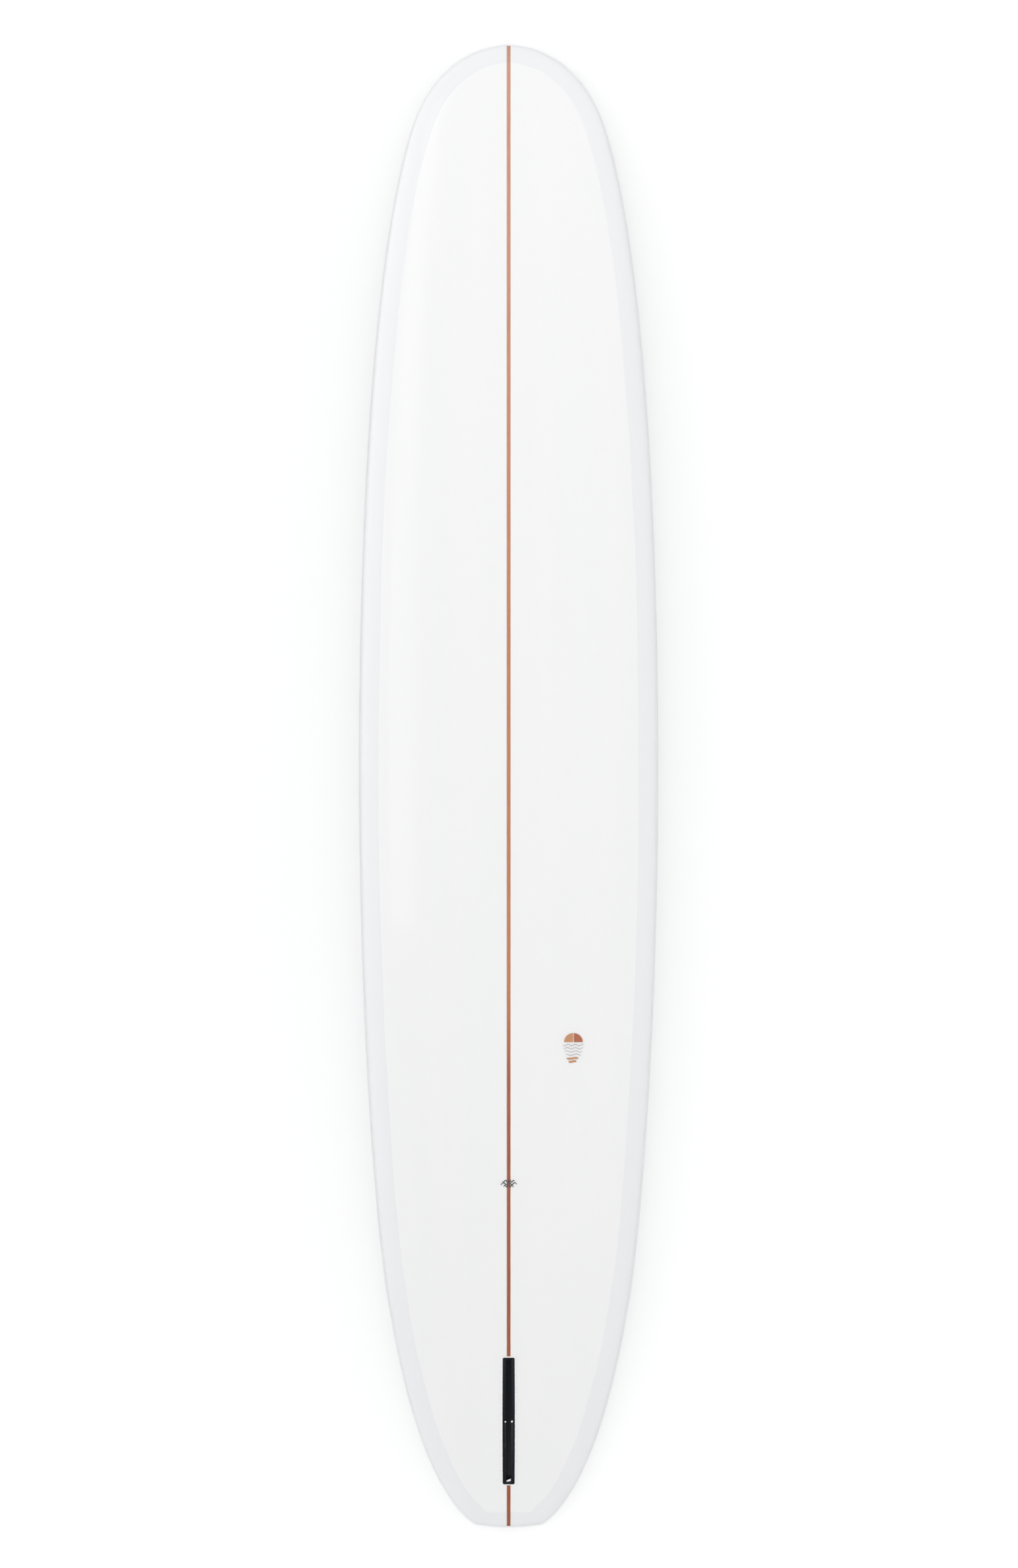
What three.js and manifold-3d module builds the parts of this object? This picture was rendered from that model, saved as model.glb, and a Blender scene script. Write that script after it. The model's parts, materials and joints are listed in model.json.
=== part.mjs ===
// A ten foot longboard surfboard, built up as the real one is: two foam halves glued to a wood
// stringer, a glass laminate on the bottom, two on the deck, a clear finish coat, a fin box and a
// leash plug, each set in its own bed of resin.
//
// Millimetres. The board lies deck down with its bottom facing +Z and its nose towards +Y, resting on
// the deck edges of its nose and tail. The origin is under its middle.
import * as THREE from "three";
import { mergeVertices } from "three/addons/utils/BufferGeometryUtils.js";
import Module from "manifold-3d";

const wasm = await Module();
wasm.setup();

// ---- driving dimensions ----------------------------------------------------------------------------
const LENGTH = 3048; // ten feet
const WIDTH = 607;
const THICKNESS = 82.5;
const HALF_LENGTH = LENGTH / 2;
const HALF_WIDTH = WIDTH / 2;

const WIDE_POINT_Y = 38; // the widest point lies a little ahead of the middle
const NOSE_JOIN = [198, 1346]; // where the two curves of the nose outline meet
const TAIL_JOIN = [250.5, -1022]; // where the two curves of the tail outline meet
const TAIL_CORNER = [72, -1518];
const TAIL_CORNER_ROUND = 7;

const NOSE_ROCKER = 112;
const TAIL_ROCKER = 95;
const NOSE_ROCKER_POWER = 2.6;
const TAIL_ROCKER_POWER = 2.2;
const NOSE_THICKNESS = 24;
const TAIL_THICKNESS = 32;
const NOSE_FOIL_POWER = 2.4;
const TAIL_FOIL_POWER = 2.6;

const RAIL_APEX_SHARE = 0.42; // the widest line of the rail, as a share of the thickness from the bottom
const BOTTOM_POWER = 4.5; // a high power makes a flat face with a tight turn into the rail
const DECK_POWER = 2.6;
const SPINE_NOSE_Y = HALF_LENGTH - 150; // the nose's section lines fan out from this point
const SPINE_TAIL_Y = -HALF_LENGTH + 70;

const GAP = 0.3; // clearance between neighbouring pieces
const LAMINATE = 0.8;
const INNER_LAMINATE = 0.6;
const FINISH_COAT = 0.3;
const DECAL_SHEET = 0.25;
const BOTTOM_LAP = 40; // how far the deck's glass wraps onto the bottom
const TAIL_LAP = 34;
const DECK_LAP = 50; // how far the bottom's glass wraps onto the deck
const INNER_EDGE = 22; // the inner deck laminate stops this far inside the outline

const STRINGER = 6.35; // a quarter inch
const GLUE = 0.5;

const FIN_BOX = { length: 266.7, width: 25.4, depth: 26, corner: 3, bulge: 0.5 };
const FIN_BOX_TAIL_GAP = 93; // from the tail to the rear end of the box
const FIN_BOX_PROUD = 0.45; // how far the ends of the flat box stand above the curved bottom
const FIN_SLOT = { length: 258, width: 10, depth: 21 };
const FIN_CHANNEL = { width: 17.6, height: 4.8, top: 5.5 }; // for the fin's cross pin and nut plate
const FIN_NOTCH = { width: 18, length: 6 }; // where the pin and the plate drop in
const RESIN_WALL = 2;

const LEASH_PLUG = { x: 32, fromTail: 75, radius: 12.5, depth: 20, bore: 9.5, floor: 2.5 };
const LEASH_FLANGE = { radius: 14.5, height: 1.5 };
const LEASH_BAR = { radius: 2, halfLength: 11.5, below: 6 };

const DISC_DECAL = { x: 131, y: -531, halfWidth: 23, halfLength: 32 };
const SMALL_DECAL = { x: 0, y: -807, halfWidth: 17, halfLength: 9 };

// ---- outline, rocker and foil ----------------------------------------------------------------------
const v2 = (point) => new THREE.Vector2(point[0], point[1]);

// The right half of the outline, from the nose tip round to the middle of the tail.
function halfOutline() {
  const wide = [HALF_WIDTH, WIDE_POINT_Y];
  const nose = [0, HALF_LENGTH];
  const tail = [0, -HALF_LENGTH];
  const [cornerX, cornerY] = TAIL_CORNER;
  const side = TAIL_CORNER_ROUND * Math.SQRT1_2;
  const beforeCorner = [cornerX + side, cornerY + side];
  const afterCorner = [cornerX - TAIL_CORNER_ROUND, cornerY - 1];
  const pieces = [
    [new THREE.CubicBezierCurve(v2(nose), v2([20.5, 1524]), v2([144.5, 1517]), v2(NOSE_JOIN)), 7],
    [new THREE.CubicBezierCurve(v2(NOSE_JOIN), v2([289.5, 1050.5]), v2([303.5, 369]), v2(wide)), 5],
    [new THREE.CubicBezierCurve(v2(wide), v2([303.5, -462]), v2([272, -874]), v2(TAIL_JOIN)), 4],
    [new THREE.CubicBezierCurve(v2(TAIL_JOIN), v2([215, -1266]), v2([158, -1445]), v2(beforeCorner)), 5],
    [new THREE.QuadraticBezierCurve(v2(beforeCorner), v2(TAIL_CORNER), v2(afterCorner)), 2],
    [new THREE.QuadraticBezierCurve(v2(afterCorner), v2([30, -HALF_LENGTH]), v2(tail)), 2],
  ];
  const outline = [];
  for (const [curve, steps] of pieces) {
    for (let i = 0; i < steps; i += 1) {
      const t = i / steps;
      const tangent = curve.getTangent(t);
      outline.push({ point: curve.getPoint(t), normal: new THREE.Vector2(-tangent.y, tangent.x) });
    }
  }
  outline.push({ point: v2(tail), normal: new THREE.Vector2(0, -1) });
  outline[0].normal.set(0, 1);
  return outline;
}

const OUTLINE = halfOutline();
const SIDE_SAMPLES = 21; // outline samples from the nose tip to the tail corner

const along = (y) => Math.min(Math.abs(y) / HALF_LENGTH, 1);

// How far the bottom's centre line has dropped below its highest point.
function rocker(y) {
  return y > 0
    ? NOSE_ROCKER * along(y) ** NOSE_ROCKER_POWER
    : TAIL_ROCKER * along(y) ** TAIL_ROCKER_POWER;
}

function thickness(y) {
  const end = y > 0 ? NOSE_THICKNESS : TAIL_THICKNESS;
  const power = y > 0 ? NOSE_FOIL_POWER : TAIL_FOIL_POWER;
  return THICKNESS - (THICKNESS - end) * along(y) ** power;
}

// The surface point reached from outline sample i at angle phi, 0 at the rail's apex and a quarter turn
// at the centre line. side is 1 on the bottom and -1 on the deck; inset moves it into the board.
function surfacePoint(i, mirror, phi, side, inset) {
  const { point, normal } = OUTLINE[i];
  const x = point.x - normal.x * inset.rail;
  const y = point.y - normal.y * inset.rail;
  const spineY = Math.min(Math.max(point.y, SPINE_TAIL_Y), SPINE_NOSE_Y);
  const power = side > 0 ? BOTTOM_POWER : DECK_POWER;
  const across = Math.max(Math.cos(phi), 0) ** (2 / power);
  const up = Math.sin(phi) ** (2 / power);
  const py = spineY + (y - spineY) * across;
  const share = side > 0 ? RAIL_APEX_SHARE : 1 - RAIL_APEX_SHARE;
  const face = side > 0 ? inset.bottom : inset.deck;
  const height = Math.max(thickness(py) * share - face, 0.1);
  return [mirror * x * across, py, apexHeight(py) + side * height * up];
}

// The height of the rail's apex, before and after the board is levelled on its two ends.
const rawApexHeight = (y) => -rocker(y) - RAIL_APEX_SHARE * thickness(y);
let levelled = () => 0;
const apexHeight = (y) => rawApexHeight(y) + levelled(y);
const bottomHeight = (y) => apexHeight(y) + RAIL_APEX_SHARE * thickness(y);
const deckHeight = (y) => bottomHeight(y) - thickness(y);
const slope = (height, y) => Math.atan((height(y + 1) - height(y - 1)) / 2);

const BOTTOM_ANGLES = [0.15, 0.4, 0.75, 1.15, Math.PI / 2];
const DECK_ANGLES = [0.25, 0.55, 0.9, 1.25, Math.PI / 2];
const FLUSH = { rail: 0, bottom: 0, deck: 0 };

// The lowest point of the deck in the nose or tail half.
function lowestPoint(half) {
  let lowest = [0, 0, Infinity];
  for (let i = 0; i < OUTLINE.length; i += 1) {
    for (const phi of [0, ...DECK_ANGLES]) {
      const found = surfacePoint(i, 1, phi, -1, FLUSH);
      if (found[1] * half > 0 && found[2] < lowest[2]) lowest = found;
    }
  }
  return lowest;
}

// Tilts and lifts the board until its nose and its tail both touch z = 0.
function levelOnEnds() {
  const [, noseY, noseZ] = lowestPoint(1);
  const [, tailY, tailZ] = lowestPoint(-1);
  const tilt = (tailZ - noseZ) / (noseY - tailY);
  levelled = (y) => -noseZ + tilt * (y - noseY);
}
levelOnEnds();

// ---- solids ----------------------------------------------------------------------------------------
const key = (point) => point.map((value) => Math.round(value * 1e4)).join();

function pushTriangle(list, a, b, c) {
  const [ka, kb, kc] = [key(a), key(b), key(c)];
  if (ka !== kb && kb !== kc && kc !== ka) list.push(...a, ...b, ...c);
}

function pushQuad(list, a, b, c, d) {
  pushTriangle(list, a, b, c);
  pushTriangle(list, a, c, d);
}

function geometryOf(positions) {
  const geometry = new THREE.BufferGeometry();
  geometry.setAttribute("position", new THREE.Float32BufferAttribute(positions, 3));
  return geometry;
}

function solidOf(geometry, matrix = new THREE.Matrix4()) {
  const plain = geometry.clone().applyMatrix4(matrix);
  plain.deleteAttribute("normal");
  plain.deleteAttribute("uv");
  const merged = mergeVertices(plain, 1e-4);
  const mesh = new wasm.Mesh({
    numProp: 3,
    vertProperties: merged.attributes.position.array,
    triVerts: new Uint32Array(merged.index.array),
  });
  return new wasm.Manifold(mesh);
}

// The whole board, inset from its outer surface by the given depths at the rail, bottom and deck.
function boardSolid(inset) {
  const last = OUTLINE.length - 1;
  const loop = [];
  for (let i = 0; i <= last; i += 1) loop.push([i, 1]);
  for (let i = last - 1; i > 0; i -= 1) loop.push([i, -1]);
  const positions = [];
  for (const [side, angles] of [[1, BOTTOM_ANGLES], [-1, DECK_ANGLES]]) {
    const rings = [0, ...angles].map((phi) =>
      loop.map(([i, mirror]) => surfacePoint(i, mirror, phi, side, inset)),
    );
    for (let r = 0; r + 1 < rings.length; r += 1) {
      for (let k = 0; k < loop.length; k += 1) {
        const next = (k + 1) % loop.length;
        const corners = [rings[r][k], rings[r][next], rings[r + 1][next], rings[r + 1][k]];
        if (side > 0) corners.reverse();
        pushQuad(positions, ...corners);
      }
    }
  }
  return solidOf(geometryOf(positions));
}

const even = (depth) => ({ rail: depth, bottom: depth, deck: depth });

// A shell between two depths under the outer surface.
const shell = (outer, inner) => boardSolid(outer).subtract(boardSolid(inner));

// The outline moved in by a depth and closed by a straight edge at tailY, as [half width, y] stations.
function insetStations(depth, tailY) {
  const stations = [];
  for (let i = 0; i < SIDE_SAMPLES; i += 1) {
    const { point, normal } = OUTLINE[i];
    const station = [point.x - normal.x * depth, point.y - normal.y * depth];
    const before = stations[stations.length - 1];
    if (station[1] <= tailY) {
      const share = (before[1] - tailY) / (before[1] - station[1]);
      stations.push([before[0] + (station[0] - before[0]) * share, tailY]);
      return stations;
    }
    stations.push(station);
  }
  const end = stations[stations.length - 1];
  stations.push([end[0] - (end[1] - tailY), tailY]);
  return stations;
}

const REACH = 30; // cutting tools stand this far out of the board

// The space inside an inset outline, from mid thickness out past the bottom (side 1) or deck (side -1).
function insideOutline(depth, tailY, side) {
  const outer = side > 0 ? (y) => bottomHeight(y) + REACH : (y) => deckHeight(y) - REACH;
  const rungs = insetStations(depth, tailY).map(([half, y]) => {
    const high = side > 0 ? outer(y) : apexHeight(y);
    const low = side > 0 ? apexHeight(y) : outer(y);
    return [[half, y, high], [-half, y, high], [-half, y, low], [half, y, low]];
  });
  const positions = [];
  for (let r = 0; r + 1 < rungs.length; r += 1) {
    for (let k = 0; k < 4; k += 1) {
      const next = (k + 1) % 4;
      pushQuad(positions, rungs[r][k], rungs[r][next], rungs[r + 1][next], rungs[r + 1][k]);
    }
  }
  pushQuad(positions, ...rungs[rungs.length - 1]);
  return solidOf(geometryOf(positions));
}

function slabAcross(fromX, toX) {
  const box = new THREE.BoxGeometry(toX - fromX, LENGTH + 2 * REACH, 4 * THICKNESS);
  return solidOf(box, new THREE.Matrix4().makeTranslation((fromX + toX) / 2, 0, THICKNESS));
}

// ---- fin box ---------------------------------------------------------------------------------------
const FIN_BOX_Y = -HALF_LENGTH + FIN_BOX_TAIL_GAP + FIN_BOX.length / 2;

// The plane of the box's face runs through the bottom's centre line at both of its ends.
function finBoxPlace() {
  const half = FIN_BOX.length / 2;
  const rear = bottomHeight(FIN_BOX_Y - half);
  const front = bottomHeight(FIN_BOX_Y + half);
  return {
    position: new THREE.Vector3(0, FIN_BOX_Y, (rear + front) / 2 + FIN_BOX_PROUD),
    rotation: new THREE.Euler(Math.atan((front - rear) / FIN_BOX.length), 0, 0),
  };
}

function matrixOf({ position, rotation }) {
  return new THREE.Matrix4().makeRotationFromEuler(rotation).setPosition(position);
}

function roundedOutline(halfX, halfY, corner, bulge) {
  const shape = new THREE.Shape();
  const x = halfX - bulge;
  shape.moveTo(x, -halfY + corner);
  shape.quadraticCurveTo(x + 2 * bulge, 0, x, halfY - corner);
  shape.absarc(x - corner, halfY - corner, corner, 0, Math.PI / 2);
  shape.lineTo(-x + corner, halfY);
  shape.absarc(-x + corner, halfY - corner, corner, Math.PI / 2, Math.PI);
  shape.quadraticCurveTo(-x - 2 * bulge, 0, -x, -halfY + corner);
  shape.absarc(-x + corner, -halfY + corner, corner, Math.PI, 1.5 * Math.PI);
  shape.lineTo(x - corner, -halfY);
  shape.absarc(x - corner, -halfY + corner, corner, 1.5 * Math.PI, 2 * Math.PI);
  return shape;
}

function extruded(shape, bottom, top, curveSegments = 4) {
  const options = { depth: top - bottom, bevelEnabled: false, curveSegments };
  return new THREE.ExtrudeGeometry(shape, options).translate(0, 0, bottom);
}

// The fin box's own block, grown by a margin, in the box's frame.
function finBlock(margin, top) {
  const { length, width, depth, corner, bulge } = FIN_BOX;
  const shape = roundedOutline(width / 2 + margin, length / 2 + margin, corner + margin, bulge);
  return extruded(shape, -depth - margin, top);
}

function blockAt(width, length, bottom, top) {
  return new THREE.BoxGeometry(width, length, top - bottom).translate(0, 0, (bottom + top) / 2);
}

function finBox() {
  const { width, height, top } = FIN_CHANNEL;
  const slot = extruded(roundedOutline(FIN_SLOT.width / 2, FIN_SLOT.length / 2, 2, 0), -FIN_SLOT.depth, 1, 3);
  const channel = blockAt(width, FIN_SLOT.length - 2, -top - height, -top);
  const notch = blockAt(FIN_NOTCH.width, FIN_NOTCH.length, -top - height, 1);
  return [slot, channel, notch].reduce(
    (solid, tool) => solid.subtract(solidOf(tool)),
    solidOf(finBlock(0, 0)),
  );
}

// ---- leash plug ------------------------------------------------------------------------------------
function leashPlugPlace() {
  const y = -HALF_LENGTH + LEASH_PLUG.fromTail;
  return {
    position: new THREE.Vector3(LEASH_PLUG.x, y, deckHeight(y)),
    rotation: new THREE.Euler(Math.PI + slope(deckHeight, y), 0, 0),
  };
}

// LatheGeometry turns its profile about +Y; this stands it up along +Z.
function turned(profile, segments) {
  const points = profile.map(([radius, height]) => new THREE.Vector2(radius, height));
  return new THREE.LatheGeometry(points, segments).rotateX(Math.PI / 2);
}

function leashBar(radius, halfLength) {
  const bar = new THREE.CylinderGeometry(radius, radius, 2 * halfLength, 12);
  return bar.rotateZ(Math.PI / 2).translate(0, 0, -LEASH_BAR.below);
}

function leashCup() {
  const { radius, depth, bore, floor } = LEASH_PLUG;
  const profile = [
    [0, -depth],
    [radius, -depth],
    [radius, -LEASH_FLANGE.height],
    [LEASH_FLANGE.radius, -LEASH_FLANGE.height],
    [LEASH_FLANGE.radius, 0],
    [bore, 0],
    [bore, floor - depth],
    [0, floor - depth],
  ];
  const holes = leashBar(LEASH_BAR.radius + GAP, LEASH_BAR.halfLength + GAP);
  return solidOf(turned(profile, 24)).subtract(solidOf(holes));
}

function leashBed() {
  const { radius, depth } = LEASH_PLUG;
  const top = -LEASH_FLANGE.height - GAP;
  const profile = [
    [0, -depth - GAP - RESIN_WALL],
    [LEASH_FLANGE.radius, -depth - GAP - RESIN_WALL],
    [LEASH_FLANGE.radius, top],
    [radius + GAP, top],
    [radius + GAP, -depth - GAP],
    [0, -depth - GAP],
  ];
  return solidOf(turned(profile, 24));
}

function leashHole(matrix) {
  const radius = LEASH_FLANGE.radius + GAP;
  const bottom = -LEASH_PLUG.depth - RESIN_WALL - 2 * GAP;
  return solidOf(turned([[0, bottom], [radius, bottom], [radius, REACH], [0, REACH]], 24), matrix);
}

// ---- decals ----------------------------------------------------------------------------------------
function decal({ x, y, halfWidth, halfLength }) {
  const shape = new THREE.Shape();
  shape.absellipse(0, 0, halfWidth, halfLength, 0, 2 * Math.PI);
  const place = new THREE.Matrix4().makeTranslation(x, y, apexHeight(y));
  const column = solidOf(extruded(shape, 0, THICKNESS, 12), place);
  const top = FINISH_COAT + 0.25;
  return shell(even(top), even(top + DECAL_SHEET)).intersect(column);
}

// ---- assembly --------------------------------------------------------------------------------------
const finish = (color, roughness, opacity = 1) =>
  new THREE.MeshStandardMaterial({ color, roughness, metalness: 0, opacity, transparent: opacity < 1 });

const LOOKS = {
  foam: () => finish(0xf2f4f3, 0.85),
  wood: () => finish(0xb4714f, 0.6),
  glue: () => finish(0x9a6a48, 0.5),
  glass: () => finish(0xeef3f4, 0.12, 0.35),
  coat: () => finish(0xf8fbfc, 0.05, 0.2),
  box: () => finish(0x14181d, 0.3),
  resin: () => finish(0xf3f1ee, 0.3),
  plug: () => finish(0xe9ebec, 0.3),
  steel: () => new THREE.MeshStandardMaterial({ color: 0xb9bdc0, roughness: 0.25, metalness: 1 }),
  discDecal: () => finish(0xd08a55, 0.5),
  smallDecal: () => finish(0x3a3d42, 0.5),
};

function meshOf(name, solid, look, place) {
  const { vertProperties, triVerts, numProp } = solid.getMesh();
  const geometry = new THREE.BufferGeometry();
  const buffer = new THREE.InterleavedBuffer(vertProperties, numProp);
  geometry.setAttribute("position", new THREE.InterleavedBufferAttribute(buffer, 3, 0));
  geometry.setIndex(new THREE.BufferAttribute(triVerts, 1));
  const mesh = new THREE.Mesh(geometry, LOOKS[look]());
  mesh.name = name;
  if (place) {
    mesh.position.copy(place.position);
    mesh.rotation.copy(place.rotation);
  }
  return mesh;
}

// Foam halves, glue lines and stringer share one blank, split by planes along its length.
function blankPieces(rout, plugHole) {
  const skin = GAP + LAMINATE + GAP + LAMINATE + GAP;
  const deckSkin = skin + INNER_LAMINATE + GAP;
  const blank = boardSolid({ rail: deckSkin, bottom: skin, deck: deckSkin }).subtract(rout).subtract(plugHole);
  const wood = STRINGER / 2;
  const glue = wood + GAP;
  const foam = glue + GLUE + GAP;
  const cut = (from, to) => blank.intersect(slabAcross(from, to));
  return [
    meshOf("foam_left", cut(-WIDTH, -foam), "foam"),
    meshOf("foam_right", cut(foam, WIDTH), "foam"),
    meshOf("stringer", cut(-wood, wood), "wood"),
    meshOf("glue_line_left", cut(-glue - GLUE, -glue), "glue"),
    meshOf("glue_line_right", cut(glue, glue + GLUE), "glue"),
  ];
}

function skinPieces(rout, plugHole) {
  const tailEdge = -HALF_LENGTH + TAIL_LAP;
  const lapped = LAMINATE + GAP; // depth of the layer under the outermost laminate
  const under = lapped + INNER_LAMINATE + GAP;
  const bottomOuter = { rail: under, bottom: lapped, deck: under };
  const bottomInner = { rail: under + LAMINATE, bottom: lapped + LAMINATE, deck: under + LAMINATE };
  const bottomLaminate = shell(bottomOuter, bottomInner)
    .subtract(insideOutline(DECK_LAP, -HALF_LENGTH + DECK_LAP, -1))
    .subtract(rout);
  const innerLaminate = shell(even(lapped), even(lapped + INNER_LAMINATE))
    .intersect(insideOutline(INNER_EDGE, -HALF_LENGTH + INNER_EDGE, -1))
    .subtract(plugHole);
  const outerLaminate = shell(FLUSH, even(LAMINATE))
    .subtract(insideOutline(BOTTOM_LAP, tailEdge, 1))
    .subtract(plugHole);
  const coat = shell(FLUSH, even(FINISH_COAT))
    .intersect(insideOutline(BOTTOM_LAP + GAP, tailEdge + GAP, 1))
    .subtract(rout);
  return [
    meshOf("bottom_laminate", bottomLaminate, "glass"),
    meshOf("deck_laminate_inner", innerLaminate, "glass"),
    meshOf("deck_laminate_outer", outerLaminate, "glass"),
    meshOf("bottom_finish_coat", coat, "coat"),
  ];
}

function fittings(boxPlace, plugPlace) {
  const boxMatrix = matrixOf(boxPlace);
  const bed = solidOf(finBlock(GAP + RESIN_WALL, REACH), boxMatrix)
    .intersect(boardSolid(FLUSH))
    .subtract(solidOf(finBlock(GAP, REACH), boxMatrix));
  return [
    meshOf("fin_box_resin_bed", bed, "resin"),
    meshOf("fin_box", finBox(), "box", boxPlace),
    meshOf("leash_plug_resin_bed", leashBed(), "resin", plugPlace),
    meshOf("leash_plug_cup", leashCup(), "plug", plugPlace),
    meshOf("leash_plug_bar", solidOf(leashBar(LEASH_BAR.radius, LEASH_BAR.halfLength)), "steel", plugPlace),
  ];
}

function surfboard() {
  const boxPlace = finBoxPlace();
  const plugPlace = leashPlugPlace();
  const rout = solidOf(finBlock(2 * GAP + RESIN_WALL, REACH), matrixOf(boxPlace));
  const plugHole = leashHole(matrixOf(plugPlace));
  const board = new THREE.Group();
  board.add(...blankPieces(rout, plugHole));
  board.add(...skinPieces(rout, plugHole));
  board.add(...fittings(boxPlace, plugPlace));
  board.add(meshOf("decal_disc", decal(DISC_DECAL), "discDecal"));
  board.add(meshOf("decal_small", decal(SMALL_DECAL), "smallDecal"));
  return board;
}

export default surfboard();
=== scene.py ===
# The looks of a ten foot longboard surfboard: fine foam, wood, glass and resin pieces built round the
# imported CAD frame. Metres, in the frame's own axes: deck down, bottom facing +Z, nose towards +Y.
import json
import math

import bmesh
import bpy
import numpy as np
from mathutils import Euler, Matrix, Vector, noise

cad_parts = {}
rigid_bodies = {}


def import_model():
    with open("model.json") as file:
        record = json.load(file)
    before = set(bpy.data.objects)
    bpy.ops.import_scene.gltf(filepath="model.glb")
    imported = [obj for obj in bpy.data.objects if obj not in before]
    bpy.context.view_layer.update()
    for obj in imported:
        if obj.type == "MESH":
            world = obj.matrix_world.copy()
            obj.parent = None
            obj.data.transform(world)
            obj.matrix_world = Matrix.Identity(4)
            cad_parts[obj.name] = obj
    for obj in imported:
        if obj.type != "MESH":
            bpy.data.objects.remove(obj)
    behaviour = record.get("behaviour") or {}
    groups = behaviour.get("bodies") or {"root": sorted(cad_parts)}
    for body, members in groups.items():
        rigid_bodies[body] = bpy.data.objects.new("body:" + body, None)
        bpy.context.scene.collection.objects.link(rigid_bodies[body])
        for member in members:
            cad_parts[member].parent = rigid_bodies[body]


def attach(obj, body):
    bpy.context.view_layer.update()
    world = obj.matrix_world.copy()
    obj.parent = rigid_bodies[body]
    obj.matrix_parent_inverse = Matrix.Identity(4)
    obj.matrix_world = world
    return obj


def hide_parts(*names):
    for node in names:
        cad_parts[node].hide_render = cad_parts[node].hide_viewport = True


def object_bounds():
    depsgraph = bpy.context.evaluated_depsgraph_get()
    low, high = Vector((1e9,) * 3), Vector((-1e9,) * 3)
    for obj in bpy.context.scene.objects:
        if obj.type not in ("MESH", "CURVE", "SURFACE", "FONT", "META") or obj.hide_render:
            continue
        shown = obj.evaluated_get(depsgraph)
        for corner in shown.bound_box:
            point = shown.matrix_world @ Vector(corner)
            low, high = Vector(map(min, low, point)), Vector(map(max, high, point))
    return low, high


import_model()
cad_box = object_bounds()
scene = bpy.context.scene

MM = 0.001

# ---- driving dimensions, as the CAD model has them ---------------------------------------------------
HALF_LENGTH = cad_box[1].y
HALF_WIDTH = cad_box[1].x
THICKNESS = 82.5 * MM
WIDE_POINT_Y = 38 * MM
NOSE_ROCKER, NOSE_ROCKER_POWER = 112 * MM, 2.6
TAIL_ROCKER, TAIL_ROCKER_POWER = 95 * MM, 2.2
NOSE_THICKNESS, NOSE_FOIL_POWER = 24 * MM, 2.4
TAIL_THICKNESS, TAIL_FOIL_POWER = 32 * MM, 2.6
RAIL_APEX_SHARE = 0.42  # the rail's widest line, as a share of the thickness from the bottom
BOTTOM, DECK = 1, -1
SECTION_POWER = {BOTTOM: 4.5, DECK: 2.6}
SPINE_NOSE_Y = HALF_LENGTH - 150 * MM  # section lines fan out from these two points
SPINE_TAIL_Y = -HALF_LENGTH + 70 * MM

LAMINATE = 0.8 * MM
INNER_LAMINATE = 0.6 * MM
FINISH_COAT = 0.3 * MM
BOTTOM_LAP, TAIL_LAP, DECK_LAP, INNER_EDGE = 40 * MM, 34 * MM, 50 * MM, 22 * MM
LAP_WANDER = 0.5 * MM  # hand cut edges aren't quite straight
LAP_FEATHER, LAP_SINK = 1.5 * MM, 0.05 * MM  # an edge sinks a little over its last stretch
LAP_GAP = 0.1 * MM  # between the deck's lap and the finish coat
LAP_RINGS = 6

# how deep each layer starts, at the rail and in from the face
BLANK_RAIL_DEPTH, BLANK_BOTTOM_DEPTH = 2.95 * MM, 1.95 * MM
BOTTOM_GLASS_RAIL_DEPTH, BOTTOM_GLASS_FACE_DEPTH = 2.0 * MM, 1.1 * MM
INNER_GLASS_DEPTH = 1.1 * MM

FIN_BOX_TOP_LENGTH, FIN_BOX_TOP_WIDTH = 266.7 * MM, 25.4 * MM
FIN_BOX_DEPTH, FIN_BOX_CORNER, FIN_BOX_BULGE = 26 * MM, 3 * MM, 0.5 * MM
FIN_BOX_TAIL_GAP, FIN_BOX_PROUD = 93 * MM, 0.45 * MM
FIN_SLOT_LENGTH, FIN_SLOT_WIDTH, FIN_SLOT_DEPTH = 258 * MM, 10 * MM, 21 * MM
FIN_CHANNEL_WIDTH, FIN_CHANNEL_TOP, FIN_CHANNEL_HEIGHT = 17.6 * MM, 5.5 * MM, 4.8 * MM
FIN_NOTCH_WIDTH, FIN_NOTCH_LENGTH = 18 * MM, 6 * MM
FIN_BOX_EDGE = 0.7 * MM  # the bevel of its edges
COLLAR = 2.3 * MM  # the resin seen round the fin box

PLUG_X, PLUG_FROM_TAIL = 32 * MM, 75 * MM
PLUG_RADIUS, PLUG_DEPTH, PLUG_BORE, PLUG_FLOOR = 12.5 * MM, 20 * MM, 9.5 * MM, 2.5 * MM
PLUG_FLANGE, PLUG_FLANGE_HEIGHT = 14.5 * MM, 1.5 * MM
PLUG_BAR, PLUG_BAR_HALF, PLUG_BAR_BELOW = 2 * MM, 11.5 * MM, 6 * MM


# ---- the board's form --------------------------------------------------------------------------------
def bezier(control, steps):
    """Points and unit outward normals along a Bezier curve, without its last point."""
    control = np.array(control, float)
    degree = len(control) - 1
    t = (np.arange(steps) / steps)[:, None]

    def blend(points):
        n = len(points) - 1
        return sum(math.comb(n, k) * t**k * (1 - t) ** (n - k) * points[k] for k in range(n + 1))

    tangent = degree * blend(np.diff(control, axis=0))
    tangent /= np.linalg.norm(tangent, axis=1)[:, None]
    return blend(control), np.stack([-tangent[:, 1], tangent[:, 0]], 1)


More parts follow.
